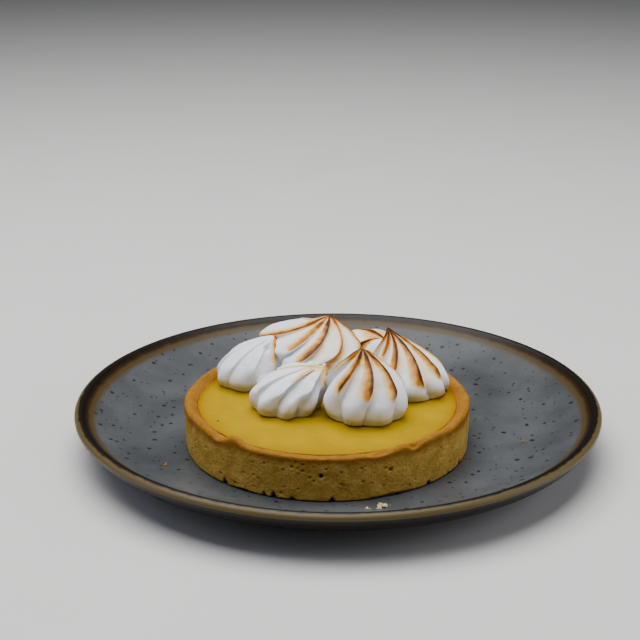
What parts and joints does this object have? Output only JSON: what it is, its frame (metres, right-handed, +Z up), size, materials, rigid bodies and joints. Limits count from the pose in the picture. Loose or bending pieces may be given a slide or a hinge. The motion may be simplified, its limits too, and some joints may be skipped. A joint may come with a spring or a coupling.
{
  "type": "lemon meringue tart on a plate",
  "caption": "Round shortcrust tart filled with lemon curd and topped with torched piped meringue kisses, on a speckled coupe plate with a dark rim.",
  "frame": {"origin": "on the table under the middle of the plate", "axes": "+Z up, -Y towards the eater, +X to the eater's right"},
  "size_m": [0.217, 0.217, 0.0521],
  "materials": {
    "stoneware_glaze": "speckled grey reactive glaze with a dark brown band and a tan lip, glossy",
    "shortcrust": "baked shortcrust pastry, browned at the rim, matte",
    "lemon_curd": "set lemon curd, smooth with a soft gloss",
    "meringue": "piped meringue, satin white with torched brown ridges"
  },
  "bodies": {
    "root": {"plate": "stoneware_glaze", "shortcrust_case": "shortcrust", "lemon_curd": "lemon_curd", "kiss_front_right": "meringue", "kiss_front_left": "meringue", "kiss_right": "meringue", "kiss_left": "meringue", "kiss_middle": "meringue", "kiss_back": "meringue"}
  },
  "joints": []
}
